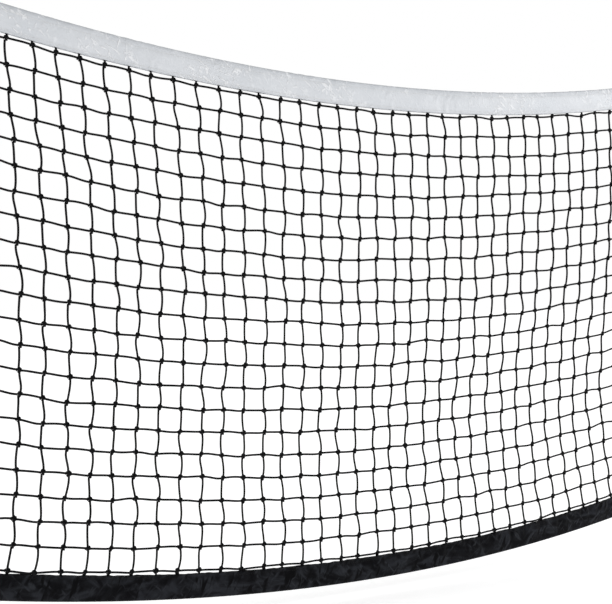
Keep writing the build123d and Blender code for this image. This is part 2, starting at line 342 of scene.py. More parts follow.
def white_vinyl():
    nodes = Nodes("white_vinyl", 0.34, specular=0.5)
    shade = nodes.ramp(nodes.noise(9, 6), [(0.3, (0.635, 0.660, 0.695)), (0.7, (0.700, 0.720, 0.750))])
    scuffs = nodes.math("GREATER_THAN", nodes.noise(60, 8, 1.5, (1, 1, 3)), 0.66)
    shade = nodes.mix(nodes.math("MULTIPLY", scuffs, 0.25), shade, (0.58, 0.59, 0.61))
    # Painted shade: the fold mask darkens the crown of the fold towards grey, and also darkens a line along
    # the hem.
    painted_fold_shade_and_dark_hem = nodes.math("MULTIPLY", nodes.attribute("shade_and_dust"), nodes.span(nodes.noise(38, 5, 0.6), 0.4, 1.0))
    shade = nodes.mix(painted_fold_shade_and_dark_hem, shade, (0.33, 0.35, 0.375))
    # Painted highlights: narrow bright streaks, slanting and upright and in patches, stand for gloss on
    # crinkled vinyl. The same streaks also drive a bump.
    slanting = nodes.streaks((0.024, 0.02, 0.007), radians(36), 0.56, 0.68)
    upright = nodes.streaks((0.008, 0.02, 0.016), 0.0, 0.57, 0.69)
    highlight_zones = nodes.streaks((0.2, 0.05, 0.10), 0.0, 0.44, 0.60)
    either = nodes.math("MAXIMUM", slanting, upright)
    painted_highlights = nodes.math("MULTIPLY", either, nodes.math("MULTIPLY_ADD", highlight_zones, 0.85, 0.15))
    shade = nodes.mix(nodes.math("MULTIPLY", painted_highlights, 0.52), shade, (0.96, 0.965, 0.98))
    nodes.bump(painted_highlights, 0.6, 0.002)
    nodes.bump(nodes.cells(1100), 0.10, 0.0004)
    nodes.bump(nodes.noise(140, 6, 1.6), 0.5, 0.0022)
    nodes.shader.inputs["Coat Weight"].default_value = 0.15
    nodes.shader.inputs["Coat Roughness"].default_value = 0.18
    return nodes.finish(shade, nodes.span(nodes.noise(45, 4), 0.26, 0.46))


def black_vinyl():
    nodes = Nodes("black_vinyl", 0.4, specular=0.06)
    # Painted sheen: this noise's lighter, bluish patches stand for gloss on puckered vinyl, set between
    # near-black ones.
    painted_sheen_patches = nodes.noise(13, 6, 2.2, (1, 1, 1.8))
    shade = nodes.ramp(
        painted_sheen_patches,
        [(0.40, (0.0012, 0.0012, 0.0022)), (0.5, (0.0055, 0.0058, 0.0075)), (0.64, (0.018, 0.0195, 0.024))],
    )
    # Painted highlights: light streaks along crossed creases stand for their gloss. The same streaks also
    # drive a bump.
    rising = nodes.streaks((0.040, 0.03, 0.010), radians(-48), 0.58, 0.74)
    falling = nodes.streaks((0.036, 0.03, 0.010), radians(52), 0.58, 0.74)
    painted_sheen = nodes.math("MULTIPLY", nodes.math("MAXIMUM", rising, falling), 0.8)
    shade = nodes.mix(painted_sheen, shade, (0.024, 0.026, 0.031))
    # Painted shade: dark streaks along diagonal folds.
    painted_crease_shade = nodes.streaks((0.010, 0.03, 0.045), radians(20), 0.57, 0.68)
    shade = nodes.mix(painted_crease_shade, shade, (0.0006, 0.0006, 0.0012))
    dust = nodes.math("MULTIPLY", nodes.attribute("shade_and_dust"), nodes.span(nodes.noise(45, 6, 0.8), 0.0, 0.25))
    shade = nodes.mix(dust, shade, (0.03, 0.031, 0.035))
    nodes.bump(painted_sheen, 0.5, 0.002)
    nodes.bump(nodes.cells(1000), 0.16, 0.0004)
    nodes.bump(nodes.noise(150, 5, 1.0), 0.45, 0.0016)
    return nodes.finish(shade, nodes.span(nodes.noise(28, 4), 0.28, 0.50))


def twine():
    nodes = Nodes("twine", 0.62, specular=0.1)
    shade = nodes.ramp(nodes.noise(24, 5), [(0.3, (0.003, 0.003, 0.0035)), (0.75, (0.009, 0.009, 0.010))])
    nodes.bump(braid(nodes, 4, 3), 0.9, 0.0003)
    nodes.bump(nodes.noise(2600, 2), 0.35, 0.0001)
    return nodes.finish(shade, nodes.span(nodes.noise(70, 3), 0.52, 0.72))


def thread(name, dark, light, specular=0.3):
    nodes = Nodes(name, 0.55, specular=specular)
    nodes.bump(braid(nodes, 1, 4), 0.8, 0.00012)
    return nodes.finish(nodes.ramp(nodes.noise(60, 3), [(0.3, dark), (0.7, light)]))


def cord_fibre():
    nodes = Nodes("cord_fibre", 0.7, specular=0.25)
    nodes.bump(nodes.cells(420, (0.5, 1, 1)), 0.7, 0.0006)
    shade = nodes.ramp(nodes.noise(40, 4), [(0.3, (0.03, 0.03, 0.03)), (0.7, (0.06, 0.06, 0.06))])
    return nodes.finish(shade)


def brushed(name, dark, light, low, high, grain):
    """A drawn or pressed metal: fine scratches along grain, uneven gloss."""
    nodes = Nodes(name, 0.35, metallic=1.0)
    shade = nodes.ramp(nodes.noise(130, 6, 0.4), [(0.3, dark), (0.72, light)])
    nodes.bump(nodes.noise(900, 3, 0.0, grain), 0.25, 0.0002)
    return nodes.finish(shade, nodes.span(nodes.noise(240, 4, 0.0, grain), low, high))


def cable_vinyl():
    nodes = Nodes("cable_vinyl", 0.3, specular=0.4)
    nodes.bump(nodes.noise(320, 4, 0.0, (0.15, 1, 1)), 0.25, 0.0003)
    shade = nodes.ramp(nodes.noise(35, 5), [(0.3, (0.022, 0.022, 0.026)), (0.7, (0.045, 0.045, 0.05))])
    return nodes.finish(shade, nodes.span(nodes.noise(90, 3), 0.24, 0.42))


def fibreglass():
    nodes = Nodes("fibreglass", 0.3, specular=0.5)
    fibres = nodes.noise(700, 5, 0.0, (1, 1, 0.02))
    nodes.bump(fibres, 0.3, 0.0002)
    shade = nodes.ramp(fibres, [(0.3, (0.60, 0.58, 0.50)), (0.7, (0.76, 0.74, 0.66))])
    return nodes.finish(shade, nodes.span(nodes.noise(60, 3), 0.24, 0.4))


def cap_rubber():
    nodes = Nodes("cap_rubber", 0.55, specular=0.3)
    nodes.bump(nodes.noise(480, 5), 0.3, 0.0003)
    shade = nodes.ramp(nodes.noise(70, 5), [(0.3, (0.02, 0.02, 0.02)), (0.7, (0.04, 0.04, 0.04))])
    return nodes.finish(shade, nodes.span(nodes.noise(110, 3), 0.45, 0.65))


WHITE_VINYL = white_vinyl()
BLACK_VINYL = black_vinyl()
TWINE = twine()
WHITE_THREAD = thread("white_thread", (0.66, 0.66, 0.65), (0.8, 0.8, 0.79))
BLACK_THREAD = thread("black_thread", (0.006, 0.006, 0.006), (0.014, 0.014, 0.014), 0.08)
STEEL = brushed("steel_wire", (0.42, 0.43, 0.44), (0.62, 0.63, 0.64), 0.25, 0.5, (1, 1, 1))
ZINC = brushed("zinc_steel", (0.5, 0.51, 0.52), (0.68, 0.69, 0.7), 0.28, 0.5, (1, 6, 1))
ALUMINIUM = brushed("sleeve_aluminium", (0.6, 0.6, 0.61), (0.74, 0.74, 0.75), 0.3, 0.5, (0.2, 2, 2))
GROMMET_BRASS = brushed("grommet_brass", (0.42, 0.31, 0.13), (0.68, 0.53, 0.27), 0.22, 0.48, (1, 1, 1))
RIVET_BRASS = brushed("rivet_brass", (0.44, 0.33, 0.15), (0.7, 0.55, 0.28), 0.2, 0.42, (1, 1, 1))


# ---------------------------------------------------------------- netting
rng = np.random.default_rng(45)
slow_x = ripples(1, 9, 0.28, 0.8)
slow_y = ripples(2, 7, 0.35, 1.0)
slow_z = ripples(3, 9, 0.28, 0.8)
quick_x = ripples(4, 12, 0.09, 0.2)
quick_z = ripples(5, 12, 0.09, 0.2)


# Slack in the netting. Both sides have slid towards the middle, most of all two thirds of the way down.
SIDE_DRIFT = 0.036
SIDE_DRIFT_REACH = 0.8
# All of it has slid left three quarters of the way down, and its top row has too.
MIDDLE_DRIFT = 0.012
MIDDLE_DRIFT_DOWN = 0.74
TOP_PULL = 0.009
# The top row hangs lower below the hem than in CAD, and the netting sags between the bands.
TOP_DROP = 0.002
SLACK_SAG = 0.0035
# The slack dies out towards the side bands, over this share of the half width.
SLACK_EDGE = 1 / 2.2
# How far each knot strays: by slow and quick waves, and on its own.
SLOW_STRAY = np.array([0.0018, 0.003, 0.0024])
QUICK_STRAY = np.array([0.0014, 0.0, 0.0010])
KNOT_STRAY = np.array([0.0014, 0.0004, 0.0009])
# The netting's outermost columns are sewn this far inside the side bands, and pressed flat there.
SELVAGE_TUCK = 0.011
PRESSED_KNOT = 0.4
# How far the twine's ends run on past the last knots, into the bands.
BAND_TUCK = 0.012
SIDE_TAIL = 0.006


def netting_nodes():
    """The knots' places, [column, row], with the slack that hangs unevenly in a real net."""
    column = np.arange(COLUMNS + 1)
    row = np.arange(ROWS + 1)
    x = np.broadcast_to(((column - COLUMNS / 2) * MESH_PITCH)[:, None], (COLUMNS + 1, ROWS + 1))
    z = arc_height(x, HEM_RADIUS, UPPER_CENTRE) - GAP_BELOW_HEADBAND - MESH_DROP * row
    down = row / ROWS
    free_z = np.sin(pi * np.clip(down, 0, 1)) ** 0.5
    free_x = np.sin(pi * np.clip(column / COLUMNS, 0, 1))[:, None] ** 0.3
    own = KNOT_STRAY[:, None, None] * rng.normal(0, 1, (3, *x.shape))
    drift = -SIDE_DRIFT * np.sin(pi * down**1.8) * np.tanh(x / SIDE_DRIFT_REACH)
    drift = drift - MIDDLE_DRIFT * bell(down, MIDDLE_DRIFT_DOWN, 0.2) - TOP_PULL * np.exp(-down / 0.1)
    from_side = 1 - np.abs(column / COLUMNS * 2 - 1)
    drift = drift * np.clip(from_side / SLACK_EDGE, 0, 1)[:, None]
    sag = SLACK_SAG * np.sin(pi * down) + TOP_DROP * np.exp(-down / 0.06)
    waves_x = SLOW_STRAY[0] * slow_x(x, z) + QUICK_STRAY[0] * quick_x(x, z)
    waves_y = SLOW_STRAY[1] * slow_y(x, z)
    waves_z = SLOW_STRAY[2] * slow_z(x, z) + QUICK_STRAY[2] * quick_z(x, z)
    moved_x = x + drift + free_x * (free_z * waves_x + own[0])
    moved_y = free_z * waves_y + own[1]
    moved_z = z - sag + free_z * waves_z + own[2]
    moved_x[0] -= SELVAGE_TUCK
    moved_x[-1] += SELVAGE_TUCK
    moved_y[[0, -1]] = 0.0
    return np.stack([moved_x, moved_y, moved_z], -1)


# Where a leg of twine leaves a knot and which way it points, in twine radii and degrees off its line.
# Even knots show their front, with two lobes on a rising diagonal; odd ones show their back.
EVEN_LEGS = {
    "up": ((0.85, 1.7), 9),
    "down": ((-0.8, -1.7), 3),
    "right": ((1.7, 0.25), 2),
    "left": ((-1.7, -0.35), 3),
}
ODD_LEGS = {
    "up": ((-0.3, 1.6), -2),
    "down": ((0.35, -1.6), -7),
    "right": ((1.6, -0.15), 3),
    "left": ((-1.6, 0.2), -1),
}
HEADINGS = {"up": pi / 2, "down": -pi / 2, "right": 0.0, "left": pi}


def leans(nodes):
    """How far each knot's row and column are turned from level and from plumb."""
    along = np.gradient(nodes, axis=0)
    down = np.gradient(nodes, axis=1)
    return np.arctan2(along[..., 2], along[..., 0]), np.arctan2(down[..., 0], -down[..., 2])


def leg_ends(nodes, odd, direction, lean):
    """Where the legs in this direction leave the knots, and their unit headings."""
    even_place, even_turn = EVEN_LEGS[direction]
    odd_place, odd_turn = ODD_LEGS[direction]
    place = np.where(odd[..., None], odd_place, even_place) * TWINE_RADIUS
    turn = np.radians(np.where(odd, odd_turn, even_turn) + rng.normal(0, 4, odd.shape))
    clockwise = 1 if direction in ("up", "down") else -1
    heading = HEADINGS[direction] - clockwise * turn + lean
    sideways = place[..., 0] * np.cos(lean) - place[..., 1] * np.sin(lean)
    upwards = place[..., 0] * np.sin(lean) + place[..., 1] * np.cos(lean)
    ends = nodes + np.stack([sideways, rng.normal(0, 0.0003, odd.shape), upwards], -1)
    return ends, np.stack([np.cos(heading), np.zeros(odd.shape), np.sin(heading)], -1)


def strands(start, leaving, end, arriving, rings=7):
    """Slack strands from start to end; leaving and arriving both point out of their own knots."""
    t = np.linspace(0, 1, rings)[:, None]
    start, end = start.reshape(-1, 1, 3), end.reshape(-1, 1, 3)
    reach = 1.0 * np.linalg.norm(end - start, axis=2, keepdims=True)
    leaving, arriving = leaving.reshape(-1, 1, 3) * reach, -arriving.reshape(-1, 1, 3) * reach
    return (
        (2 * t**3 - 3 * t**2 + 1) * start
        + (t**3 - 2 * t**2 + t) * leaving
        + (3 * t**2 - 2 * t**3) * end
        + (t**3 - t**2) * arriving
    )


def knot_template():
    """A sheet bend at the origin: a bight, and the twine that comes up through it and wraps its neck.

    The controls are (u, v, w) in twine radii: u up the diagonal, v across it, w out of the front."""
    bight = [
        (-2.3, 1.25, 0.0),
        (-1.1, 1.05, 0.1),
        (0.6, 1.15, 0.2),
        (1.9, 0.85, 0.4),
        (2.4, 0.0, 0.5),
        (1.9, -0.85, 0.4),
        (0.6, -1.15, 0.2),
        (-1.1, -1.0, 0.1),
        (-2.5, -0.95, 0.0),
    ]
    wrap = [
        (2.0, -1.5, 0.2),
        (1.2, -0.6, 1.25),
        (0.4, -0.1, 0.5),
        (-0.2, 0.2, -0.9),
        (-0.7, -0.8, -1.45),
        (-0.9, -1.95, -0.5),
        (-0.8, -1.9, 0.8),
        (-0.5, -0.7, 1.7),
        (-0.2, 0.6, 1.7),
        (0.1, 1.75, 0.9),
        (0.8, 1.8, 0.1),
        (2.1, 1.0, 0.0),
    ]
    u = np.array([1, 0, 1]) / sqrt(2)
    v = np.array([-1, 0, 1]) / sqrt(2)
    w = np.array([0, -1, 0])
    template = Shape()
    for controls, rings in ((bight, 11), (wrap, 18)):
        path = smooth_path(controls, rings) @ np.stack([u, v, w]) * TWINE_RADIUS
        template.add(*sweep(path[None], TWINE_RADIUS * 0.96, 6, TWINE_LAY))
    return np.concatenate(template.points), template.faces, np.concatenate(template.uvs)


def netting():
    nodes = netting_nodes()
    odd = (np.add.outer(np.arange(COLUMNS + 1), np.arange(ROWS + 1)) % 2).astype(bool)
    row_lean, column_lean = leans(nodes)
    ends = {}
    for direction in HEADINGS:
        lean = column_lean if direction in ("up", "down") else row_lean
        ends[direction] = leg_ends(nodes, odd, direction, lean)
    knot_points, knot_faces, knot_uvs = knot_template()
    turned = knot_points[:, [2, 1, 0]] * (1, -1, 1)
    tilt = rng.normal(0, radians(7), odd.shape) + (row_lean + column_lean) / 2
    size = rng.uniform(0.86, 1.0, odd.shape)
    up, down = ends["up"], ends["down"]
    left, right = ends["left"], ends["right"]
    into_band = np.array([0.0, 0.0, BAND_TUCK])
    flat_nodes = nodes * (1, 0, 1)
    into_side = np.array([SIDE_TAIL, 0.0, 0.0])
    for first in range(0, COLUMNS, PANEL_COLUMNS):
        after = first + PANEL_COLUMNS
        last = after + 1 if after == COLUMNS else after
        shape = Shape()
        knots = slice(first, last)
        cells = slice(first, after)
        beside = slice(first + 1, after + 1)
        falling = np.array([[0, 0, -1.0]] * (last - first))
        in_headband = flat_nodes[knots, 0] + into_band
        in_bottom_band = flat_nodes[knots, -1] - into_band
        paths = [
            strands(down[0][knots, :-1], down[1][knots, :-1], up[0][knots, 1:], up[1][knots, 1:]),
            strands(right[0][cells], right[1][cells], left[0][beside], left[1][beside]),
            strands(up[0][knots, 0], up[1][knots, 0], in_headband, falling),
            strands(down[0][knots, -1], down[1][knots, -1], in_bottom_band, -falling),
        ]
        for column, ending, way in ((0, left, -1), (COLUMNS, right, 1)):
            if first <= column < last:
                inward = np.array([[-way, 0.0, 0.0]] * (ROWS + 1))
                tail = nodes[column] + way * into_side
                paths.append(strands(ending[0][column], ending[1][column], tail, inward))
        shape.add(*sweep(np.concatenate(paths), TWINE_RADIUS, 8, TWINE_LAY))
        for column in range(first, last):
            for row in range(ROWS + 1):
                points = turned if odd[column, row] else knot_points
                turn = tilt[column, row]
                rotate = np.array([[cos(turn), 0, -sin(turn)], [0, 1, 0], [sin(turn), 0, cos(turn)]])
                pressed = PRESSED_KNOT if column in (0, COLUMNS) else 1.0
                place = points @ rotate.T * (1, pressed, 1) * size[column, row] + nodes[column, row]
                shape.add(place, knot_faces, knot_uvs)
        panel = shape.piece(f"netting_panel_{first // PANEL_COLUMNS + 1}", "net", "twine", TWINE)
        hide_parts("netting")


netting()


# ---------------------------------------------------------------- folded bands
class Band:
    """A vinyl strip folded over a cord that sags on a circle. depth is measured from the cord's centre."""

    def __init__(self, radius, centre, direction, depth, ends, seams, relief, half=FOLD_HALF):
        self.radius = radius
        self.centre = centre
        self.direction = direction
        self.depth = depth
        self.ends = ends
        self.half = half
        self.seams = seams
        self.relief = relief

    def half_thickness(self, depth):
        pinch = sum(amount * bell(depth, place, width) for place, amount, width in self.seams)
        return self.half - pinch

    def point(self, x, depth, face):
        """The vinyl's outer face at x and this depth; face is -1 in front and 1 behind."""
        x, depth = np.broadcast_arrays(x, depth)
        y = face * (self.half_thickness(depth) + self.relief(x, depth, face))
        z = arc_height(x, self.radius + self.direction * depth, self.centre)
        return np.stack([x, y, z], -1)

    def skin(self, columns, face_rows, fold_rows):
        """The folded strip's outer face as a grid [column, row], and each row's depth."""
        x = np.linspace(*self.ends, columns)[:, None]
        down = np.linspace(self.depth, 0, face_rows)
        turn = np.linspace(0, pi, fold_rows)[1:-1]
        front = self.point(x, down[None], -1)
        back = self.point(x, down[None, ::-1], 1)
        radius = self.half + 0.5 * (self.relief(x, 0 * turn, -1) + self.relief(x, 0 * turn, 1))
        y = -radius * np.cos(turn)
        rise = -radius * np.sin(turn)
        z = arc_height(x, self.radius + self.direction * rise, self.centre)
        fold = np.stack([np.broadcast_to(x, y.shape), y, z], -1)
        depths = np.concatenate([down, -self.half * np.sin(turn), down[::-1]])
        return np.concatenate([front, fold, back], axis=1), depths


def strip_piece(name, grid, shade_and_dust, thickness, material, outward):
    """A strip of vinyl from a grid of its outer face, with its thickness inside."""
    columns, rows, _ = grid.shape
    corner = np.arange(columns - 1)[:, None] * rows + np.arange(rows - 1)
    quads = np.stack([corner, corner + 1, corner + rows + 1, corner + rows], -1).reshape(-1, 4)
    if outward < 0:
        quads = quads[:, ::-1]
    mesh = bpy.data.meshes.new(name)
    mesh.from_pydata(grid.reshape(-1, 3).tolist(), [], quads.tolist())
    layer = mesh.attributes.new("shade_and_dust", "FLOAT", "POINT")
    layer.data.foreach_set("value", np.broadcast_to(shade_and_dust, (columns, rows)).astype(np.float32).ravel())
    mesh.shade_smooth()
    mesh.materials.append(material)
    piece = bpy.data.objects.new(name, mesh)
    bpy.context.scene.collection.objects.link(piece)
    solid = piece.modifiers.new("thickness", "SOLIDIFY")
    solid.thickness = thickness
    solid.offset = -1.0
    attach(piece, "net")
    return piece


def stitch_row(place, start, end, normal, sink=0.0002):
    """Stitches along place(a), a from start to end: short arcs of thread with their ends in the vinyl."""
    count = int(abs(end - start) / STITCH_PITCH)
    middles = start + (np.arange(count) + 0.5) * (end - start) / count
    t = np.linspace(-0.5, 0.5, 5)
    along = middles[:, None] + t * STITCH_LENGTH * np.sign(end - start)
    lift = THREAD_RADIUS * (1.1 - 5.5 * t**2) - sink
    return place(along) + lift[None, :, None] * np.asarray(normal, float)


def stitching(name, rows, slot, material, replaced=None):
    """One piece of these rows of stitches, which stands for a thread node if there is one."""
    shape = Shape()
    for row in rows:
        shape.add(*sweep(row, THREAD_RADIUS, 5, STITCH_LENGTH))
    piece = shape.piece(name, "net", slot, material)
    if replaced:
        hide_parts(replaced)


crinkle_masks = [ripples(11, 8, 0.10, 0.4), ripples(12, 8, 0.10, 0.4)]
crinkles = [
    ripples(13, 16, 0.010, 0.028, (0.5, 1.1)),
    ripples(14, 16, 0.010, 0.028, (0.5, 1.1)),
]
puckers = [ripples(15, 10, 0.012, 0.035, (-0.15, 0.15)), ripples(16, 10, 0.012, 0.035, (-0.15, 0.15))]
swells = [ripples(17, 10, 0.06, 0.3, (-0.6, 0.6)), ripples(18, 10, 0.06, 0.3, (-0.6, 0.6))]


def headband_relief(x, depth, face):
    """How far the headband's vinyl stands off its smooth shape."""
    side = 0 if face < 0 else 1
    under_patch = smooth_step(np.abs(x), PATCH_INNER_X - 0.012, PATCH_INNER_X)
    belly = smooth_step(depth, 0.004, 0.016) * (1 - 0.8 * bell(depth, HEADBAND_DEPTH - STITCH_INSET, 0.004))
    creased = smooth_step(crinkle_masks[side](x, depth), 0.1, 0.7)
    top = bell(depth, 0.010, 0.012) * creased * crinkles[side](x, depth)
    low = smooth_step(depth, 0.018, 0.036) * puckers[side](x, depth)
    relief = 0.0009 * belly * swells[side](x, depth) + 0.0013 * top + 0.0007 * low * creased
    return (1 - under_patch) * relief - 0.0002 * under_patch


headband = Band(
    SAG_RADIUS, UPPER_CENTRE, 1, HEADBAND_DEPTH, (-HALF_WIDTH, HALF_WIDTH),
    [(UPPER_STITCH_DEPTH, 0.0007, 0.004), (HEADBAND_DEPTH - STITCH_INSET, 0.0010, 0.006)],
    headband_relief,
)


def bottom_relief(x, depth, face):
    """How far the bottom band's vinyl stands off its smooth shape: it is puckered by its seam."""
    side = 0 if face < 0 else 1
    belly = smooth_step(depth, 0.003, 0.014)
    seam = smooth_step(depth, 0.014, 0.034)
    creased = smooth_step(crinkle_masks[1 - side](x, depth), -0.2, 0.6)
    folds = crinkles[1 - side](x, depth) * creased
    slack = 0.0014 * swells[1 - side](1.7 * x, depth) + 0.0013 * folds
    return belly * slack + 0.0010 * seam * puckers[1 - side](x, depth)


bottom_band = Band(
    BOTTOM_CORD_RADIUS, LOWER_CENTRE, -1, BOTTOM_BAND_DEPTH, (-BOTTOM_HALF_WIDTH, BOTTOM_HALF_WIDTH),
    [(BOTTOM_BAND_DEPTH - STITCH_INSET, 0.0009, 0.005)],
    bottom_relief,
)


# Points along the band, down each face, and round the fold.
BAND_GRID = (1000, 15, 9)
PATCH_GRID = (34, 20, 11)


def fold_shade_and_dust(depths, at_fold, at_edge, depth):
    """A mask along the fold's crown and along the hem. White vinyl reads it as painted shade on the crown of
    the fold, plus a darker line along the hem. Black vinyl reads it as lighter dust.
    """
    crown = bell(depths, -FOLD_HALF, 0.003) + 0.7 * bell(depths, -FOLD_HALF, 0.012)
    return np.minimum(at_fold * crown + at_edge * bell(depths, depth, 0.004), 0.9)


grid, depths = headband.skin(*BAND_GRID)
# Painted shade along the crown of the headband's fold, and a darker line along its hem.
shade_and_dust = fold_shade_and_dust(depths, 0.72, 0.3, HEADBAND_DEPTH)
piece = strip_piece("headband_vinyl", grid, shade_and_dust, VINYL, WHITE_VINYL, -1)
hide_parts("headband")

grid, depths = bottom_band.skin(*BAND_GRID)
shade_and_dust = fold_shade_and_dust(depths, 0.5, 0.4, BOTTOM_BAND_DEPTH)
piece = strip_piece("bottom_band_vinyl", grid, shade_and_dust, VINYL, BLACK_VINYL, 1)
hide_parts("bottom_band")


def band_stitches(band, depth, half_length):
    """The stitches of one seam on both faces of a folded band."""
    rows = []
    for face in (-1, 1):

        def place(x):
            return band.point(x, np.full_like(x, depth), face)

        rows.append(stitch_row(place, -half_length, half_length, (0, face, 0)))
    return rows


seam_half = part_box("headband_upper_thread")[1].x
stitching(
    "headband_upper_stitches", band_stitches(headband, UPPER_STITCH_DEPTH, seam_half),
    "white_thread", WHITE_THREAD, "headband_upper_thread",
)
stitching(
    "headband_lower_stitches", band_stitches(headband, HEADBAND_DEPTH - STITCH_INSET, seam_half),
    "white_thread", WHITE_THREAD, "headband_lower_thread",
)
seam_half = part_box("bottom_band_thread")[1].x
stitching(
    "bottom_band_stitches", band_stitches(bottom_band, BOTTOM_BAND_DEPTH - STITCH_INSET, seam_half),
    "black_thread", BLACK_THREAD, "bottom_band_thread",
)


# ---------------------------------------------------------------- corner patches
PATCH_HALF = 0.0053
PATCH_VINYL = 0.001
PATCH_STITCH_INSET = 0.0035


def patch_relief(x, depth, face):
    side = 0 if face < 0 else 1
    return 0.00025 * smooth_step(depth, 0.004, 0.016) * (swells[side](3 * x, 3 * depth) - 0.6)


def corner_patch(side, way):
    ends = sorted((way * PATCH_INNER_X, way * HALF_WIDTH))
    patch = Band(SAG_RADIUS, UPPER_CENTRE, 1, HEADBAND_DEPTH, ends, [], patch_relief, PATCH_HALF)
    grid, depths = patch.skin(*PATCH_GRID)
    # Painted shade along the crown of the patch's fold, and a darker line along its hem.
    shade_and_dust = fold_shade_and_dust(depths, 0.5, 0.5, HEADBAND_DEPTH)
    piece = strip_piece(f"{side}_corner_patch_vinyl", grid, shade_and_dust, PATCH_VINYL, WHITE_VINYL, -1)
    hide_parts(f"{side}_corner_patch")
    rows = []
    for face in (-1, 1):

        def along_end(depth):
            return patch.point(np.full_like(depth, x), depth, face)

        def along_hem(across):
            return patch.point(across, np.full_like(across, HEADBAND_DEPTH - PATCH_STITCH_INSET), face)

        for x in (ends[0] + PATCH_STITCH_INSET, ends[1] - PATCH_STITCH_INSET):
            rows.append(stitch_row(along_end, 0.004, HEADBAND_DEPTH - 0.006, (0, face, 0)))
        rows.append(stitch_row(along_hem, ends[0] + 0.006, ends[1] - 0.006, (0, face, 0)))
    stitching(f"{side}_corner_patch_stitches", rows, "white_thread", WHITE_THREAD)


# ---------------------------------------------------------------- side bands
POCKET_WALL = 0.0009
SIDE_TUCK = 0.02
OUTER_SEAM_INSET = 0.003
GROMMETS = 5
# Points across each flat, round the pocket, and down the band.
SIDE_GRID = (22, 25, 300)


class SideBand:
    """A vinyl strip folded over the netting's edge: two flats and, between them, a round pocket."""

    def __init__(self, side, way):
        self.way = way
        low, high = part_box(f"{side}_side_band")
        self.pocket_radius = high.y
        self.pocket_x = max(high.x, -low.x) - self.pocket_radius
        self.bottom = low.z
        self.neck_x = self.pocket_x - sqrt(self.pocket_radius**2 - SIDE_FLAT_HALF**2)
        self.pocket_top = arc_height(self.pocket_x - self.pocket_radius, HEM_RADIUS, UPPER_CENTRE) - 0.002
        low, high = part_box(f"{side}_grommet_eyelets")
        self.grommet_x = (low.x + high.x) / 2
        flange = (high.x - low.x) / 2
        self.grommet_zs = np.linspace(low.z + flange, high.z - flange, GROMMETS)

    def from_grommet(self, x, z):
        apart = [np.hypot(x - self.grommet_x, z - grommet_z) for grommet_z in self.grommet_zs]
        return np.min(apart, axis=0)

    def face_y(self, x, z, face):
        """How far a flat's outer face stands from the net's plane."""
        side = 0 if face < 0 else 1
        inset = np.abs(x) - PATCH_INNER_X
        calm = smooth_step(self.from_grommet(x, z), 0.009, 0.02)
        tucked = smooth_step(z, self.pocket_top - 0.006, self.pocket_top)
        outer_seam = self.neck_x - PATCH_INNER_X - OUTER_SEAM_INSET
        seams = bell(inset, STITCH_INSET, 0.004) + bell(inset, outer_seam, 0.003)
        puffs = 0.0007 * swells[side](z, 2 * x) + 0.0005 * puckers[side](z, 2 * x)
        return SIDE_FLAT_HALF + calm * (1 - tucked) * ((1 - seams) * puffs - 0.0004 * seams) - 0.0003 * tucked

    def skin(self, flat_columns, turn_columns, rows):
        flat = np.linspace(PATCH_INNER_X, self.neck_x, flat_columns)
        neck_angle = asin(SIDE_FLAT_HALF / self.pocket_radius)
        turn = np.linspace(neck_angle - pi, pi - neck_angle, turn_columns)[1:-1]
        down = np.linspace(0, 1, rows)
        top = arc_height(flat, HEM_RADIUS - SIDE_TUCK, UPPER_CENTRE)
        base = np.maximum(arc_height(flat, HEM_RADIUS + SIDE_TUCK, LOWER_CENTRE), self.bottom)
        top[flat > self.pocket_x - self.pocket_radius] = self.pocket_top
        z_flat = top + (base - top) * down[:, None]
        fall = self.pocket_top + (self.bottom - self.pocket_top) * down
        z_turn = np.broadcast_to(fall[:, None], (rows, len(turn)))
        swell = self.pocket_radius + 0.0003 * (swells[0](z_turn, turn * 0.05) - 1.0)
        x_flat = np.broadcast_to(self.way * flat, z_flat.shape)
        front = np.stack([x_flat, -self.face_y(x_flat, z_flat, -1), z_flat], -1)
        back = np.stack([x_flat, self.face_y(x_flat, z_flat, 1), z_flat], -1)[:, ::-1]
        x_turn = self.way * (self.pocket_x + swell * np.cos(turn))
        pocket = np.stack([x_turn, swell * np.sin(turn), z_turn], -1)
        return np.concatenate([front, pocket, back], axis=1)


def side_band(side, way):
    band = SideBand(side, way)
    grid = band.skin(*SIDE_GRID)
    shade_and_dust = 0.25 * np.ones(grid.shape[:2])
    piece = strip_piece(f"{side}_side_band_vinyl", grid, shade_and_dust, POCKET_WALL, BLACK_VINYL, -way)
    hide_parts(f"{side}_side_band")
    hole = bmesh.new()
    hole.from_mesh(piece.data)
    hidden = [face for face in hole.faces if covered(face, band)]
    bmesh.ops.delete(hole, geom=hidden, context="FACES")
    hole.to_mesh(piece.data)
    hole.free()
    rows = []
    bottom = arc_height(band.neck_x, HEM_RADIUS, LOWER_CENTRE)
    for face in (-1, 1):
        for x in (PATCH_INNER_X + STITCH_INSET, band.neck_x - OUTER_SEAM_INSET):

            def place(z):
                across = np.full_like(z, way * x)
                return np.stack([across, face * band.face_y(across, z, face), z], -1)

            rows.append(stitch_row(place, band.pocket_top - 0.004, bottom + 0.004, (0, face, 0)))
    stitching(f"{side}_side_band_stitches", rows, "black_thread", BLACK_THREAD, f"{side}_side_band_thread")


def covered(face, band):
    """True for a face of the side band that a grommet's flange hides."""
    middle = face.calc_center_median()
    on_flat = abs(middle.x) < band.neck_x
    return on_flat and band.from_grommet(middle.x, middle.z) < GROMMET_HIDDEN


# ---------------------------------------------------------------- the cable's steel core
CORE_RADIUS = 0.002
EYE_LOOP_RADIUS = 0.01205
SHOULDER_RADIUS = 0.02
LEG_OFFSET = 0.0021
SLEEVE_LENGTH = 0.026
SLEEVE_GAP = 0.002
STRANDS = 6
CABLE_LAY = 0.026
CORE_STEP = 0.0014


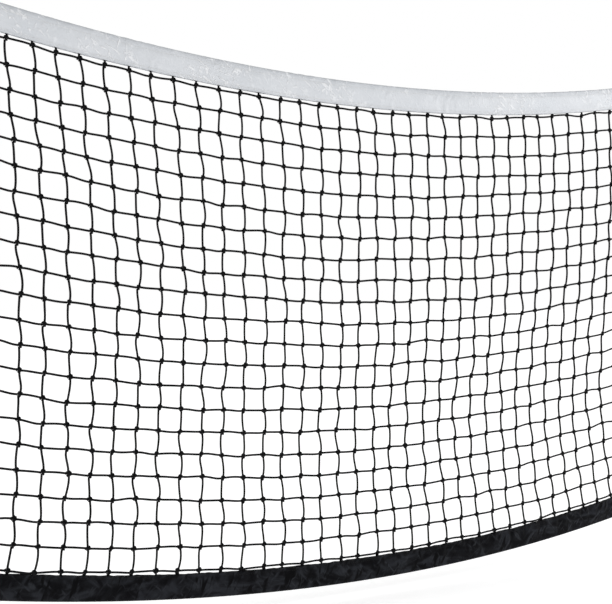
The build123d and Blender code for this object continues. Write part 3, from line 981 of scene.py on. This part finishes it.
def cable_core():
    """Six steel strands laid round a seventh, shown in full at the eyes and as one rod inside the jacket."""
    end_angle = asin(HALF_WIDTH / SAG_RADIUS)
    along = np.array([cos(end_angle), 0, sin(end_angle)])
    across = np.array([-sin(end_angle), 0, cos(end_angle)])
    run = sqrt((EYE_LOOP_RADIUS + SHOULDER_RADIUS) ** 2 - (LEG_OFFSET + SHOULDER_RADIUS) ** 2)
    bend = asin(run / (EYE_LOOP_RADIUS + SHOULDER_RADIUS))
    eye_low, eye_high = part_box("right_cable_thimble")
    eye_x = (eye_low.x + eye_high.x) / 2
    near = -run - SLEEVE_GAP - SLEEVE_LENGTH
    height = LEG_OFFSET + SHOULDER_RADIUS

    def arc(middle, radius, first, last):
        count = max(2, int(abs(last - first) * radius / CORE_STEP))
        turn = np.linspace(first, last, count)
        return np.stack([middle[0] + radius * np.cos(turn), middle[1] + radius * np.sin(turn)], -1)

    def line(first, last, level):
        count = int(abs(last - first) / CORE_STEP)
        return np.stack([np.linspace(first, last, count), np.full(count, level)], -1)

    half_turn = pi / 2 + bend
    flat = np.concatenate([
        line(near - 2 * SLEEVE_GAP, -run, LEG_OFFSET),
        arc((-run, height), SHOULDER_RADIUS, -pi / 2, -pi / 2 + bend)[1:],
        arc((0, 0), EYE_LOOP_RADIUS, half_turn, -half_turn)[1:],
        arc((-run, -height), SHOULDER_RADIUS, pi / 2 - bend, pi / 2)[1:],
        line(-run, near, -LEG_OFFSET)[1:],
    ])
    shape = Shape()
    eye = np.array([eye_x, 0, 0])
    middle = eye + flat[:, :1] * along + flat[:, 1:] * across
    travelled = np.concatenate([[0], np.cumsum(np.linalg.norm(np.diff(middle, axis=0), axis=1))])
    tangent = unit(np.gradient(middle, axis=0))
    outward = np.cross(tangent, [0, 1, 0])
    strand = CORE_RADIUS / 3
    for way in (-1, 1):
        mirror = np.array([way, 1, 1])
        paths = [middle * mirror]
        for number in range(STRANDS):
            turn = (tau * travelled / CABLE_LAY + number * tau / STRANDS)[:, None]
            offset = 2 * strand * (np.cos(turn) * np.array([0, 1, 0]) + np.sin(turn) * outward)
            paths.append((middle + offset) * mirror)
        shape.add(*sweep(np.stack(paths), strand, 6, CABLE_LAY))
    turn = np.linspace(-end_angle, end_angle, 60)
    rod = SAG_RADIUS * np.stack([np.sin(turn), 0 * turn, -np.cos(turn)], -1) + np.array([0, 0, UPPER_CENTRE])
    first_leg = middle[:1] * np.array([-1, 1, 1])
    rod = np.concatenate([first_leg, rod, middle[:1]])
    shape.add(*sweep(rod[None], CORE_RADIUS, 8, CABLE_LAY))
    piece = shape.piece("cable_core_strands", "cable", "steel_wire", STEEL)
    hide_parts("cable_core")


cable_core()
for side, way in (("left", -1), ("right", 1)):
    corner_patch(side, way)
    side_band(side, way)


# ---------------------------------------------------------------- CAD nodes that keep their shape
def dress(node, material):
    """Gives a CAD node its finished material."""
    shown = frame["nodes"][node]
    if not shown.material_slots:
        shown.data.materials.append(material)
    for place in shown.material_slots:
        place.material = material


dress("cable_jacket", cable_vinyl())
dress("bottom_cord", cord_fibre())
GLASS, RUBBER = fibreglass(), cap_rubber()
for side in ("left", "right"):
    dress(f"{side}_grommet_eyelets", GROMMET_BRASS)
    dress(f"{side}_grommet_washers", GROMMET_BRASS)
    dress(f"{side}_patch_rivets", RIVET_BRASS)
    dress(f"{side}_cable_thimble", ZINC)
    dress(f"{side}_cable_sleeve", ALUMINIUM)
    dress(f"{side}_dowel", GLASS)
    dress(f"{side}_dowel_top_cap", RUBBER)
    dress(f"{side}_dowel_bottom_cap", RUBBER)


# ---------------------------------------------------------------- floor, light and camera
FLOOR_GAP = 0.03
FLOOR_HALF = 60.0
FLOOR_GLOW = 0.42


def make_floor():
    height = LOWEST - FLOOR_GAP
    mesh = bpy.data.meshes.new("floor")
    corners = [(x, y, height) for x, y in ((-1, -1), (1, -1), (1, 1), (-1, 1))]
    mesh.from_pydata([(x * FLOOR_HALF, y * FLOOR_HALF, z) for x, y, z in corners], [], [(0, 1, 2, 3)])
    nodes = Nodes("floor", 0.9, specular=0.1)
    nodes.shader.inputs["Emission Color"].default_value = (1, 1, 1, 1)
    nodes.shader.inputs["Emission Strength"].default_value = FLOOR_GLOW
    shade = nodes.ramp(nodes.noise(0.8, 3), [(0.3, (0.84, 0.84, 0.84)), (0.7, (0.86, 0.86, 0.86))])
    mesh.materials.append(nodes.finish(shade))
    floor = bpy.data.objects.new("floor", mesh)
    bpy.context.scene.collection.objects.link(floor)


def make_world():
    """White ahead of the camera and overhead, a little dimmer from behind it."""
    world = bpy.data.worlds.new("studio")
    world.use_nodes = True
    tree = world.node_tree
    background = tree.nodes["Background"]
    place = tree.nodes.new("ShaderNodeTexCoord")
    axes = tree.nodes.new("ShaderNodeSeparateXYZ")
    level = tree.nodes.new("ShaderNodeMapRange")
    level.inputs["From Min"].default_value = -0.35
    level.inputs["From Max"].default_value = 0.15
    level.inputs["To Min"].default_value = 0.66
    level.inputs["To Max"].default_value = 1.0
    tree.links.new(place.outputs["Generated"], axes.inputs["Vector"])
    tree.links.new(axes.outputs["Y"], level.inputs["Value"])
    tree.links.new(level.outputs["Result"], background.inputs["Strength"])
    background.inputs["Color"].default_value = (1, 1, 1, 1)
    bpy.context.scene.world = world


def area_light(name, place, target, size, watts):
    data = bpy.data.lights.new(name, "AREA")
    data.size = size
    data.energy = watts
    light = bpy.data.objects.new(name, data)
    light.location = place
    light.rotation_euler = (Vector(target) - Vector(place)).to_track_quat("-Z", "Y").to_euler()
    bpy.context.scene.collection.objects.link(light)


CAMERA_X = -0.955
CAMERA_Y = -1.695
CAMERA_TURN = radians(-26.0)
CAMERA_DROP = 0.471
CAMERA_LENS = 53.2


def make_camera():
    top_edge = UPPER_CENTRE - SAG_RADIUS + FOLD_HALF
    data = bpy.data.cameras.new("camera")
    data.sensor_width = 36.0
    data.lens = CAMERA_LENS
    camera = bpy.data.objects.new("camera", data)
    camera.location = (CAMERA_X, CAMERA_Y, top_edge - CAMERA_DROP)
    camera.rotation_euler = (pi / 2, 0, CAMERA_TURN)
    bpy.context.scene.collection.objects.link(camera)
    bpy.context.scene.camera = camera


make_floor()
make_world()
area_light("key", (2.3, -1.5, 0.7), (0.7, 0.0, -0.4), 1.2, 17.0)
make_camera()
bpy.context.scene.view_settings.view_transform = "Standard"
